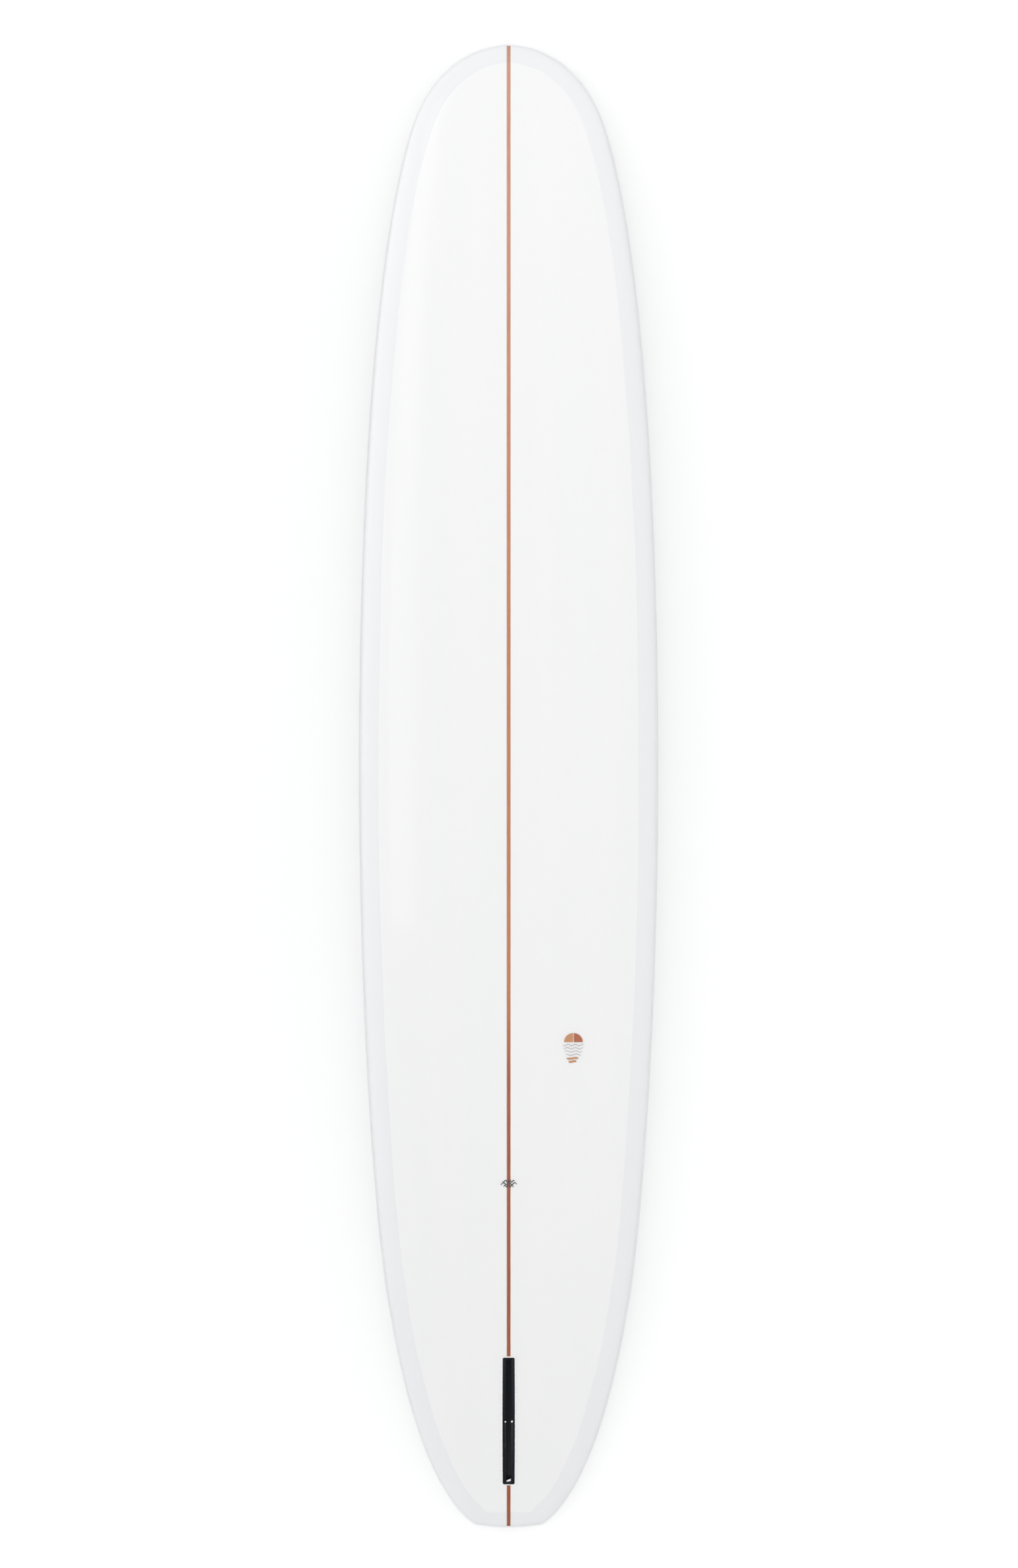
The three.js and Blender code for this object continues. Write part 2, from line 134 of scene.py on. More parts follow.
def half_outline():
    """The right half of the outline, from the nose tip round to the middle of the tail."""
    side = 4.95 * MM
    nose = (0, HALF_LENGTH)
    nose_join = (198 * MM, 1346 * MM)
    wide = (HALF_WIDTH, WIDE_POINT_Y)
    tail_join = (250.5 * MM, -1022 * MM)
    corner = (72 * MM, -1518 * MM)
    before = (corner[0] + side, corner[1] + side)
    after = (65 * MM, -1519 * MM)
    tail = (0, -HALF_LENGTH)
    curves = [
        ([nose, (20.5 * MM, HALF_LENGTH), (144.5 * MM, 1517 * MM), nose_join], 52),
        ([nose_join, (289.5 * MM, 1050.5 * MM), (HALF_WIDTH, 369 * MM), wide], 34),
        ([wide, (HALF_WIDTH, -462 * MM), (272 * MM, -874 * MM), tail_join], 26),
        ([tail_join, (215 * MM, -1266 * MM), (158 * MM, -1445 * MM), before], 60),
        ([before, corner, after], 8),
        ([after, (30 * MM, -HALF_LENGTH), tail], 8),
    ]
    made = [bezier(control, steps) for control, steps in curves]
    points = np.concatenate([m[0] for m in made] + [[tail]])
    normals = np.concatenate([m[1] for m in made] + [[(0, -1)]])
    normals[0] = (0, 1)
    return points, normals


HALF_POINTS, HALF_NORMALS = half_outline()
MIRROR = np.array([-1, 1])
RIM = np.concatenate([HALF_POINTS, (HALF_POINTS * MIRROR)[-2:0:-1]])
RIM_NORMALS = np.concatenate([HALF_NORMALS, (HALF_NORMALS * MIRROR)[-2:0:-1]])
CORNER_SAMPLES = 17  # outline samples from the tail corner to the middle of the tail
SIDE_LINE = HALF_POINTS[:-CORNER_SAMPLES]


def along(y):
    return np.minimum(np.abs(y) / HALF_LENGTH, 1)


def thickness(y):
    end = np.where(y > 0, NOSE_THICKNESS, TAIL_THICKNESS)
    power = np.where(y > 0, NOSE_FOIL_POWER, TAIL_FOIL_POWER)
    return THICKNESS - (THICKNESS - end) * along(y) ** power


def raw_apex(y):
    """The height of the rail's widest line before the board is levelled."""
    nose = NOSE_ROCKER * along(y) ** NOSE_ROCKER_POWER
    tail = TAIL_ROCKER * along(y) ** TAIL_ROCKER_POWER
    return -np.where(y > 0, nose, tail) - RAIL_APEX_SHARE * thickness(y)


def levelling():
    """The lift and the tilt that set the board down on its nose and its tail."""
    y = np.linspace(-HALF_LENGTH, HALF_LENGTH, 4001)
    room = HALF_LENGTH - SPINE_NOSE_Y, SPINE_TAIL_Y + HALF_LENGTH
    share = np.clip(np.where(y > 0, (y - SPINE_NOSE_Y) / room[0], (SPINE_TAIL_Y - y) / room[1]), 0, 1)
    round_off = (1 - share ** SECTION_POWER[DECK]) ** (1 / SECTION_POWER[DECK])
    low = raw_apex(y) - (1 - RAIL_APEX_SHARE) * thickness(y) * round_off
    nose, tail = [max(np.flatnonzero(half), key=lambda i: -low[i]) for half in (y > 0, y < 0)]
    tilt = (low[tail] - low[nose]) / (y[nose] - y[tail])
    return -low[nose] - tilt * y[nose], tilt


LIFT, TILT = levelling()


def apex_height(y):
    return raw_apex(y) + LIFT + TILT * y


def face_height(y, side):
    """The height of the bottom's or the deck's centre line."""
    share = RAIL_APEX_SHARE if side == BOTTOM else 1 - RAIL_APEX_SHARE
    return apex_height(y) + side * share * thickness(y)


def surface(share, side, depth):
    """Points at a share of the way from the spine to the rim, sunk by a depth at (rail, face)."""
    rail_depth, face_depth = depth
    rim = RIM - RIM_NORMALS * rail_depth
    spine_y = np.clip(RIM[:, 1], SPINE_TAIL_Y, SPINE_NOSE_Y)
    x = rim[:, 0] * share
    y = spine_y + (rim[:, 1] - spine_y) * share
    power = SECTION_POWER[side]
    rise = np.maximum(1 - share**power, 0) ** (1 / power)
    part = RAIL_APEX_SHARE if side == BOTTOM else 1 - RAIL_APEX_SHARE
    height = np.maximum(thickness(y) * part - face_depth, 0.1 * MM)
    return np.stack(np.broadcast_arrays(x, y, apex_height(y) + side * height * rise), -1)


def surface_height(x, y, side, depth=0.0):
    """The height of the bottom or the deck over a point of the plan, clear of the nose and tail fans."""
    reach = np.interp(-y, -HALF_POINTS[:, 1], HALF_POINTS[:, 0])
    power = SECTION_POWER[side]
    rise = np.maximum(1 - (np.abs(x) / reach) ** power, 0) ** (1 / power)
    part = RAIL_APEX_SHARE if side == BOTTOM else 1 - RAIL_APEX_SHARE
    return apex_height(y) + side * (thickness(y) * part - depth) * rise


def distance_to_side(points):
    """How far plan points are from the outline's two long sides."""
    folded = np.abs(points[:, None, 0]), points[:, None, 1]
    start, span = SIDE_LINE[:-1], np.diff(SIDE_LINE, axis=0)
    dx, dy = folded[0] - start[:, 0], folded[1] - start[:, 1]
    t = np.clip((dx * span[:, 0] + dy * span[:, 1]) / (span**2).sum(1), 0, 1)
    return np.hypot(dx - t * span[:, 0], dy - t * span[:, 1]).min(1)


def edge_share(side_inset, tail_inset):
    """For each rim sample, the share at which a sheet's cut edge crosses its section line."""
    spine = np.stack([np.zeros(len(RIM)), np.clip(RIM[:, 1], SPINE_TAIL_Y, SPINE_NOSE_Y)], 1)
    angle = np.arange(len(RIM)) * 2 * math.pi / len(RIM)
    wobble = np.sin(23 * angle + 1.0) + 0.6 * np.sin(57 * angle + 2.0) + 0.4 * np.sin(91 * angle)
    wander = LAP_WANDER * wobble
    low, high = np.zeros(len(RIM)), np.ones(len(RIM))
    for _ in range(26):
        middle = (low + high) / 2
        at = spine + (RIM - spine) * middle[:, None]
        clear_of_side = distance_to_side(at) > side_inset + wander
        clear_of_tail = at[:, 1] > -HALF_LENGTH + tail_inset + wander / 3
        inside = clear_of_side & clear_of_tail
        low, high = np.where(inside, middle, low), np.where(inside, high, middle)
    return (low + high) / 2


RAIL_RINGS, FACE_RINGS = 9, 16
RAIL_TURN = {BOTTOM: 0.7, DECK: 0.55}  # how high up the section the closely spaced rail rings go


def sheet(side, depth, end=0.0, face_rings=FACE_RINGS, sunk=0.0):
    """Rings from the rail's widest line in to a share of the way, with a feathered edge if it is sunk."""
    power = SECTION_POWER[side]
    turn = np.linspace(0, RAIL_TURN[side], RAIL_RINGS)
    shares = [np.full(len(RIM), (1 - up**power) ** (1 / power)) for up in turn]
    last = shares[-1]
    length = np.hypot(RIM[:, 0], RIM[:, 1] - np.clip(RIM[:, 1], SPINE_TAIL_Y, SPINE_NOSE_Y))
    stop = end + LAP_FEATHER / length if sunk else end
    shares += [last + (stop - last) * k / face_rings for k in range(1, face_rings + 1)]
    rings = [surface(share, side, depth) for share in shares]
    if sunk:
        rings.append(surface(np.broadcast_to(end, len(RIM)), side, (depth[0], depth[1] + sunk)))
    return rings


def patch(side, depth, start, rings=FACE_RINGS, sunk=0.0):
    """Rings from a cut edge in to the spine."""
    length = np.hypot(RIM[:, 0], RIM[:, 1] - np.clip(RIM[:, 1], SPINE_TAIL_Y, SPINE_NOSE_Y))
    inner = start - LAP_FEATHER / length
    made = [surface(start, side, (depth[0], depth[1] + sunk))]
    return made + [surface(inner * (1 - k / rings), side, depth) for k in range(rings + 1)]


# ---- meshes ------------------------------------------------------------------------------------------
SMOOTH_ANGLE = math.radians(35)


def piece_of(name, mesh_data, materials):
    """Makes an object ride on the board and its materials."""
    mesh = bpy.data.meshes.new(name)
    mesh_data.to_mesh(mesh)
    mesh_data.free()
    piece = bpy.data.objects.new(name, mesh)
    scene.collection.objects.link(piece)
    for material in materials:
        mesh.materials.append(material)
    smooth(piece)
    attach(piece, "root")
    return piece


def smooth(piece):
    piece.data.shade_smooth()
    piece.data.set_sharp_from_angle(angle=SMOOTH_ANGLE)


def lofted(rings, inner_from=None):
    """A surface through loops of points in turn. Strips from inner_from on take the second material."""
    shell = bmesh.new()
    rows = [[shell.verts.new(point) for point in ring] for ring in rings]
    for index, (row, after) in enumerate(zip(rows, rows[1:])):
        for k in range(len(row)):
            n = (k + 1) % len(row)
            face = shell.faces.new((row[k], row[n], after[n], after[k]))
            face.material_index = int(inner_from is not None and index >= inner_from)
    bmesh.ops.remove_doubles(shell, verts=shell.verts, dist=0.004 * MM)
    bmesh.ops.recalc_face_normals(shell, faces=shell.faces)
    return shell


def capped(mesh_data):
    """Closes the flat holes that a plane cut leaves."""
    open_edges = [edge for edge in mesh_data.edges if edge.is_boundary]
    bmesh.ops.holes_fill(mesh_data, edges=open_edges, sides=0)
    bmesh.ops.recalc_face_normals(mesh_data, faces=mesh_data.faces)


def sliced(rings, low_x, high_x):
    """The part of a lofted solid between two planes across X, closed. None leaves that side whole."""
    solid = lofted(rings)
    for at, direction in ((low_x, -1), (high_x, 1)):
        if at is None:
            continue
        geometry = list(solid.verts) + list(solid.edges) + list(solid.faces)
        bmesh.ops.bisect_plane(
            solid, geom=geometry, plane_co=(at, 0, 0), plane_no=(direction, 0, 0), clear_outer=True
        )
        capped(solid)
    return solid


def prism(outline, bottom, top):
    """The bottom and top loops of a column over a plan outline."""
    return [[(x, y, bottom) for x, y in outline], [(x, y, top) for x, y in outline]]


def filled(rings):
    """A lofted tube with both of its ends closed."""
    solid = lofted(rings)
    capped(solid)
    return solid


def turned(profile, segments=64):
    """A surface of revolution about Z through (radius, height) points."""
    angles = [2 * math.pi * k / segments for k in range(segments)]
    rings = [[(r * math.cos(a), r * math.sin(a), z) for a in angles] for r, z in profile]
    return lofted(rings)


def tool(mesh_data, matrix=Matrix()):
    """A throwaway object that cuts others."""
    mesh = bpy.data.meshes.new("tool")
    mesh_data.to_mesh(mesh)
    mesh_data.free()
    mesh.transform(matrix)
    cutter = bpy.data.objects.new("tool", mesh)
    scene.collection.objects.link(cutter)
    cutter.hide_render = True
    return cutter


def applied(piece):
    """Bakes a piece's modifiers into its mesh."""
    evaluated = piece.evaluated_get(bpy.context.evaluated_depsgraph_get())
    mesh = bpy.data.meshes.new_from_object(evaluated)
    piece.modifiers.clear()
    piece.data = mesh


def cut(piece, *cutters):
    for cutter in cutters:
        modifier = piece.modifiers.new("cut", "BOOLEAN")
        modifier.object = cutter
        modifier.operation = "DIFFERENCE"
        modifier.solver = "EXACT"
    applied(piece)
    smooth(piece)


def rounded_outline(half_x, half_y, corner, bulge=0.0, corner_steps=8, side_steps=24):
    """A rectangle with round corners whose long sides swell by the bulge at their middle."""
    x = half_x - bulge
    points = []
    for sx, sy, start in ((1, -1, 1.5), (1, 1, 0.0), (-1, 1, 0.5), (-1, -1, 1.0)):
        centre = (sx * (x - corner), sy * (half_y - corner))
        for k in range(corner_steps + 1):
            a = (start + 0.5 * k / corner_steps) * math.pi
            points.append((centre[0] + corner * math.cos(a), centre[1] + corner * math.sin(a)))
        if sy * sx < 0:
            for k in range(1, side_steps):
                y = sx * (half_y - corner) * (2 * k / side_steps - 1)
                swell = 4 * (k / side_steps) * (1 - k / side_steps)
                points.append((sx * (x + bulge * swell), y))
    return points


# ---- shader helpers ----------------------------------------------------------------------------------
class Shader:
    """A material under construction: short calls that add a node and return its output."""

    def __init__(self, name):
        self.material = bpy.data.materials.new(name)
        self.material.use_nodes = True
        self.tree = self.material.node_tree
        self.tree.nodes.clear()
        self.output = self.tree.nodes.new("ShaderNodeOutputMaterial")

    def node(self, kind, inputs=None, **settings):
        made = self.tree.nodes.new(kind)
        for key, value in settings.items():
            setattr(made, key, value)
        for key, value in (inputs or {}).items():
            self.put(made.inputs[key], value)
        return made

    def put(self, socket, value):
        if isinstance(value, bpy.types.NodeSocket):
            self.tree.links.new(value, socket)
        else:
            socket.default_value = value

    def place(self):
        return self.node("ShaderNodeTexCoord").outputs["Object"]

    def axes(self):
        return self.node("ShaderNodeSeparateXYZ", {0: self.place()}).outputs

    def maths(self, operation, a, b=0.0, c=0.0):
        return self.node("ShaderNodeMath", {0: a, 1: b, 2: c}, operation=operation).outputs[0]

    def scaled(self, factors):
        return self.node("ShaderNodeMapping", {"Vector": self.place(), "Scale": factors}).outputs[0]

    def noise(self, scale, detail=2.0, roughness=0.5, stretch=None, offset=(0, 0, 0)):
        vector = self.scaled(stretch) if stretch else self.place()
        moved = self.node("ShaderNodeVectorMath", {0: vector, 1: offset}, operation="ADD").outputs[0]
        inputs = {"Vector": moved, "Scale": scale, "Detail": detail, "Roughness": roughness}
        return self.node("ShaderNodeTexNoise", inputs).outputs["Fac"]

    def ranged(self, value, low, high, to_low=0.0, to_high=1.0, smooth=True):
        inputs = {0: value, 1: low, 2: high, 3: to_low, 4: to_high}
        kind = "SMOOTHSTEP" if smooth else "LINEAR"
        return self.node("ShaderNodeMapRange", inputs, interpolation_type=kind).outputs[0]

    def mixed(self, share, a, b):
        made = self.node("ShaderNodeMix", data_type="RGBA")
        self.put(made.inputs[0], share)
        self.put(made.inputs[6], a)
        self.put(made.inputs[7], b)
        return made.outputs[2]

    def bump(self, height, distance, strength=1.0):
        inputs = {"Height": height, "Distance": distance, "Strength": strength}
        return self.node("ShaderNodeBump", inputs).outputs[0]

    def principled(self, **inputs):
        named = {key.replace("_", " "): value for key, value in inputs.items()}
        return self.node("ShaderNodeBsdfPrincipled", named).outputs[0]

    def mix_shaders(self, share, a, b):
        return self.node("ShaderNodeMixShader", {0: share, 1: a, 2: b}).outputs[0]

    def gloss_share(self, ior):
        """Schlick's reflectance, the same from both sides of a face."""
        least = ((ior - 1) / (ior + 1)) ** 2
        facing = self.node("ShaderNodeLayerWeight", {"Blend": 0.5}).outputs["Facing"]
        return self.maths("MULTIPLY_ADD", self.maths("POWER", facing, 5.0), 1 - least, least)

    def finish(self, surface):
        self.tree.links.new(surface, self.output.inputs["Surface"])
        return self.material


def rgba(r, g, b):
    return (r, g, b, 1.0)


# ---- materials ---------------------------------------------------------------------------------------
RESIN_IOR = 1.5
# The stringer's wood lightens from tail to nose: painted glare, standing in for the reflection of the room,
# which is brightest toward the nose, in the gloss.
NOSE_WOOD_PAINTED_GLARE = rgba(0.42, 0.155, 0.08)
MIDDLE_WOOD_PAINTED_GLARE = rgba(0.4, 0.125, 0.032)
TAIL_WOOD = rgba(0.225, 0.035, 0.003)


def weave(shader, pitch=1.1 * MM):
    """The square pattern of glass cloth, 0 to 1, as two crossing sets of threads."""
    x, y, _ = shader.axes()
    threads = []
    for axis in (x, y):
        wave = shader.maths("SINE", shader.maths("MULTIPLY", axis, 2 * math.pi / pitch))
        threads.append(shader.maths("ABSOLUTE", wave))
    return shader.maths("MULTIPLY", threads[0], threads[1])


def foam_material():
    shader = Shader("shaped_foam")
    cells = shader.noise(900.0, detail=3.0, roughness=0.6)
    streaks = shader.noise(26.0, detail=3.0, stretch=(1, 0.04, 1))
    tone = shader.mixed(shader.ranged(cells, 0.3, 0.7), rgba(0.743, 0.736, 0.737), rgba(0.764, 0.757, 0.756))
    tone = shader.mixed(shader.ranged(streaks, 0.35, 0.65, 0.0, 0.5), tone, rgba(0.737, 0.737, 0.73))
    return shader.finish(
        shader.principled(
            Base_Color=tone,
            Roughness=shader.ranged(cells, 0.3, 0.7, 0.75, 0.95),
            Normal=shader.bump(cells, 0.1 * MM, 0.4),
        )
    )


def wood_material():
    shader = Shader("stringer_wood")
    x, y, _ = shader.axes()
    # Lighter towards the nose: painted glare, not the wood's own tone.
    painted_glare_towards_nose = shader.ranged(y, -0.62, -0.4)
    tone = shader.mixed(painted_glare_towards_nose, TAIL_WOOD, MIDDLE_WOOD_PAINTED_GLARE)
    tone = shader.mixed(shader.ranged(y, 0.2, 1.35), tone, NOSE_WOOD_PAINTED_GLARE)
    grain = shader.noise(420.0, detail=5.0, roughness=0.65, stretch=(1, 0.02, 0.35))
    bands = shader.noise(9.0, detail=3.0, roughness=0.6, stretch=(8, 1, 1), offset=(3, 7, 1))
    pores = shader.noise(1500.0, detail=2.0, stretch=(1, 0.05, 1), offset=(11, 5, 2))
    tone = shader.mixed(shader.ranged(grain, 0.35, 0.7, 0.0, 0.2), tone, rgba(0.55, 0.22, 0.09))
    tone = shader.mixed(shader.ranged(bands, 0.42, 0.68, 0.0, 0.2), tone, rgba(0.24, 0.06, 0.015))
    tone = shader.mixed(shader.ranged(pores, 0.62, 0.74, 0.0, 0.7), tone, rgba(0.15, 0.055, 0.03))
    side = shader.ranged(shader.maths("ABSOLUTE", x), 2.3 * MM, 3.1 * MM, 0.0, 0.08)
    tone = shader.mixed(side, tone, rgba(0.62, 0.29, 0.12))
    return shader.finish(
        shader.principled(
            Base_Color=tone,
            Roughness=shader.ranged(grain, 0.3, 0.7, 0.45, 0.7),
            Normal=shader.bump(grain, 0.15 * MM, 0.5),
        )
    )


def glue_material():
    shader = Shader("glue_line")
    drops = shader.noise(300.0, detail=3.0, stretch=(1, 0.1, 1))
    tone = shader.mixed(shader.ranged(drops, 0.35, 0.7), rgba(0.38, 0.14, 0.055), rgba(0.5, 0.24, 0.12))
    relief = shader.bump(drops, 0.1 * MM, 0.4)
    return shader.finish(shader.principled(Base_Color=tone, Roughness=0.5, Normal=relief))


def film_material(name, veil, tint, outer, cloth):
    """Clear resin, with or without glass cloth in it. Only an outer face is glossy."""
    shader = Shader(name)
    haze = shader.noise(18.0, detail=3.0, stretch=(1, 0.08, 1))
    amount = shader.ranged(haze, 0.3, 0.7, veil * 0.85, veil * 1.15)
    if cloth:
        amount = shader.maths("MULTIPLY", amount, shader.ranged(weave(shader), 0.0, 1.0, 0.7, 1.25, False))
    clear = shader.node("ShaderNodeBsdfTransparent", {"Color": rgba(*tint)}).outputs[0]
    white = shader.node("ShaderNodeBsdfDiffuse", {"Color": rgba(0.72, 0.73, 0.745)}).outputs[0]
    body = shader.mix_shaders(amount, clear, white)
    if not outer:
        return shader.finish(body)
    ripple = shader.noise(9.0, detail=2.0, stretch=(1, 0.25, 1))
    normal = shader.bump(ripple, 0.15 * MM, 0.25)
    gloss = shader.node(
        "ShaderNodeBsdfGlossy", {"Color": rgba(1, 1, 1), "Roughness": 0.06, "Normal": normal}
    ).outputs[0]
    return shader.finish(shader.mix_shaders(shader.gloss_share(RESIN_IOR), body, gloss))


def box_material():
    shader = Shader("fin_box_plastic")
    grain = shader.noise(1800.0, detail=2.0)
    scuffs = shader.noise(260.0, detail=5.0, roughness=0.7, stretch=(1, 0.35, 1), offset=(4, 2, 9))
    worn = shader.ranged(scuffs, 0.55, 0.8, 0.0, 0.55)
    tone = shader.mixed(worn, rgba(0.004, 0.006, 0.009), rgba(0.03, 0.038, 0.05))
    return shader.finish(
        shader.principled(
            Base_Color=tone,
            Roughness=shader.ranged(scuffs, 0.4, 0.75, 0.22, 0.5),
            Specular_IOR_Level=0.25,
            Normal=shader.bump(grain, 0.05 * MM, 0.3),
        )
    )


def resin_material():
    shader = Shader("milky_resin")
    cloud = shader.noise(240.0, detail=4.0, roughness=0.6)
    tone = shader.mixed(shader.ranged(cloud, 0.3, 0.7), rgba(0.66, 0.655, 0.63), rgba(0.82, 0.82, 0.8))
    return shader.finish(
        shader.principled(
            Base_Color=tone,
            Roughness=shader.ranged(cloud, 0.3, 0.7, 0.12, 0.3),
            Coat_Weight=0.6,
            Coat_Roughness=0.05,
            Subsurface_Weight=0.1,
            Subsurface_Radius=(2 * MM, 2 * MM, 2 * MM),
            Normal=shader.bump(cloud, 0.1 * MM, 0.3),
        )
    )


def plug_material():
    shader = Shader("plug_plastic")
    grain = shader.noise(1500.0, detail=2.0)
    cloud = shader.noise(90.0, detail=3.0)
    tone = shader.mixed(shader.ranged(cloud, 0.3, 0.7), rgba(0.72, 0.73, 0.735), rgba(0.78, 0.785, 0.785))
    return shader.finish(
        shader.principled(
            Base_Color=tone,
            Roughness=shader.ranged(cloud, 0.3, 0.7, 0.25, 0.4),
            Normal=shader.bump(grain, 0.05 * MM, 0.25),
        )
    )


def steel_material():
    shader = Shader("stainless_bar")
    lines = shader.noise(700.0, detail=3.0, stretch=(0.05, 1, 1))
    tone = shader.mixed(shader.ranged(lines, 0.3, 0.7), rgba(0.55, 0.56, 0.57), rgba(0.68, 0.69, 0.7))
    return shader.finish(
        shader.principled(
            Base_Color=tone,
            Metallic=1.0,
            Roughness=shader.ranged(lines, 0.3, 0.7, 0.18, 0.34),
            Normal=shader.bump(lines, 0.03 * MM, 0.3),
        )
    )


def ink_material(name, light, dark):
    """Screen printed ink, a little uneven."""
    shader = Shader(name)
    cover = shader.noise(700.0, detail=3.0)
    tone = shader.mixed(shader.ranged(cover, 0.3, 0.7), dark, light)
    relief = shader.bump(cover, 0.03 * MM, 0.3)
    return shader.finish(shader.principled(Base_Color=tone, Roughness=0.55, Normal=relief))


def floor_material():
    shader = Shader("studio_floor")
    drift = shader.noise(1.5, detail=2.0)
    tone = shader.mixed(drift, rgba(0.845, 0.845, 0.845), rgba(0.855, 0.855, 0.855))
    return shader.finish(shader.principled(Base_Color=tone, Roughness=0.8, Specular_IOR_Level=0.2))


FOAM = foam_material()
WOOD = wood_material()
GLUE = glue_material()
CLEAR_TINT = (0.997, 0.9985, 1.0)
LAP_TINT = (0.988, 0.991, 0.9945)
GLASS_OUTER = film_material("glass_skin", 0.015, LAP_TINT, True, True)
GLASS_LAPPED = film_material("glass_skin_lapped", 0.01, LAP_TINT, False, True)
GLASS_BONDED = film_material("glass_skin_bonded", 0.006, CLEAR_TINT, False, True)
COAT_OUTER = film_material("gloss_coat", 0.004, (1.0, 1.0, 1.0), True, False)
COAT_BONDED = film_material("gloss_coat_bonded", 0.002, (1.0, 1.0, 1.0), False, False)
BOX = box_material()
RESIN = resin_material()
PLUG = plug_material()
STEEL = steel_material()


# ---- fin box frame and leash plug frame --------------------------------------------------------------
def fin_box_frame():
    """The box's face passes through the bottom's centre line at both of its ends."""
    half = FIN_BOX_TOP_LENGTH / 2
    y = -HALF_LENGTH + FIN_BOX_TAIL_GAP + half
    rear, front = face_height(y - half, BOTTOM), face_height(y + half, BOTTOM)
    turn = Euler((math.atan2(front - rear, FIN_BOX_TOP_LENGTH), 0, 0)).to_matrix().to_4x4()
    return Matrix.Translation((0, y, (rear + front) / 2 + FIN_BOX_PROUD)) @ turn


def plug_frame():
    y = -HALF_LENGTH + PLUG_FROM_TAIL
    step = MM
    slope = math.atan2(face_height(y + step, DECK) - face_height(y - step, DECK), 2 * step)
    turn = Euler((math.pi + slope, 0, 0)).to_matrix().to_4x4()
    return Matrix.Translation((PLUG_X, y, face_height(y, DECK))) @ turn


CUTTER_TOP = 20 * MM  # how far a cutter reaches out past the face that it enters
BOX_FRAME = fin_box_frame()
PLUG_FRAME = plug_frame()


def box_rout(margin):
    half_x, half_y = FIN_BOX_TOP_WIDTH / 2 + margin, FIN_BOX_TOP_LENGTH / 2 + margin
    outline = rounded_outline(half_x, half_y, FIN_BOX_CORNER + margin, FIN_BOX_BULGE)
    return tool(filled(prism(outline, -FIN_BOX_DEPTH - margin, CUTTER_TOP)), BOX_FRAME)


def plug_hole():
    radius = PLUG_FLANGE + 0.05 * MM
    deep = -PLUG_DEPTH - 2 * MM
    return tool(turned([(0, deep), (radius, deep), (radius, CUTTER_TOP), (0, CUTTER_TOP)]), PLUG_FRAME)


# ---- the blank: foam, glue and stringer ---------------------------------------------------------------
STRINGER_HALF = 3.175 * MM
GLUE_HALF = 3.98 * MM  # the outer face of a glue line


def blank_rings():
    bottom = sheet(BOTTOM, (BLANK_RAIL_DEPTH, BLANK_BOTTOM_DEPTH))
    deck = sheet(DECK, (BLANK_RAIL_DEPTH, BLANK_RAIL_DEPTH))
    return bottom[::-1] + deck[1:]


def build_blank(rout, hole):
    rings = blank_rings()
    parts = [
        ("foam_blank_left", "foam_left", None, -GLUE_HALF, "foam", FOAM),
        ("foam_blank_right", "foam_right", GLUE_HALF, None, "foam", FOAM),
        ("stringer_wood_strip", "stringer", -STRINGER_HALF, STRINGER_HALF, "stringer_wood", WOOD),
        ("glue_left", "glue_line_left", -GLUE_HALF, -STRINGER_HALF, "glue", GLUE),
        ("glue_right", "glue_line_right", STRINGER_HALF, GLUE_HALF, "glue", GLUE),
    ]
    for name, node, low, high, slot, material in parts:
        piece = piece_of(name, sliced(rings, low, high), [material])
        cut(piece, rout, *([hole] if node == "foam_right" else []))
        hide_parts(node)


# ---- the skins -----------------------------------------------------------------------------------------
def build_deck_laminate(hole):
    edge = edge_share(BOTTOM_LAP, TAIL_LAP)
    outer_deck = sheet(DECK, (0, 0))
    outer_lap = sheet(BOTTOM, (0, 0), edge, LAP_RINGS, LAP_SINK)
    inner_deck = sheet(DECK, (LAMINATE, LAMINATE))
    inner_lap = sheet(BOTTOM, (LAMINATE, LAMINATE), edge, LAP_RINGS)
    rings = outer_deck[::-1] + outer_lap[1:]
    inner_from = len(rings)
    rings += inner_lap[::-1] + inner_deck[1:]
    skin = lofted(rings, inner_from=inner_from)
    piece = piece_of("deck_glass_outer", skin, [GLASS_OUTER, GLASS_LAPPED])
    cut(piece, hole)
    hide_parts("deck_laminate_outer")


def build_inner_laminate(hole):
    edge = edge_share(INNER_EDGE, INNER_EDGE)
    top, under = INNER_GLASS_DEPTH, INNER_GLASS_DEPTH + INNER_LAMINATE
    outer = patch(DECK, (top, top), edge)
    inner = patch(DECK, (under, under), edge)
    rings = outer[::-1] + inner
    piece = piece_of("deck_glass_inner", lofted(rings), [GLASS_BONDED])
    cut(piece, hole)
    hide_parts("deck_laminate_inner")


def build_bottom_laminate(rout):
    edge = edge_share(DECK_LAP, DECK_LAP)
    rail, face = BOTTOM_GLASS_RAIL_DEPTH, BOTTOM_GLASS_FACE_DEPTH
    outer = sheet(BOTTOM, (rail, face))[::-1] + sheet(DECK, (rail, rail), edge, LAP_RINGS)[1:]
    deep = rail + LAMINATE
    inner = sheet(BOTTOM, (deep, face + LAMINATE))[::-1] + sheet(DECK, (deep, deep), edge, LAP_RINGS)[1:]
    rings = outer + inner[::-1]
    piece = piece_of("bottom_glass", lofted(rings, inner_from=0), [GLASS_BONDED, GLASS_BONDED])
    cut(piece, rout)
    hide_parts("bottom_laminate")


def build_finish_coat(rout):
    edge = edge_share(BOTTOM_LAP + LAP_GAP, TAIL_LAP + LAP_GAP)
    outer = patch(BOTTOM, (0, 0), edge, sunk=LAP_SINK)
    inner = patch(BOTTOM, (FINISH_COAT, FINISH_COAT), edge)
    rings = outer[::-1] + inner
    coat = lofted(rings, inner_from=len(outer) - 1)
    piece = piece_of("bottom_gloss_coat", coat, [COAT_OUTER, COAT_BONDED])
    cut(piece, rout)
    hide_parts("bottom_finish_coat")


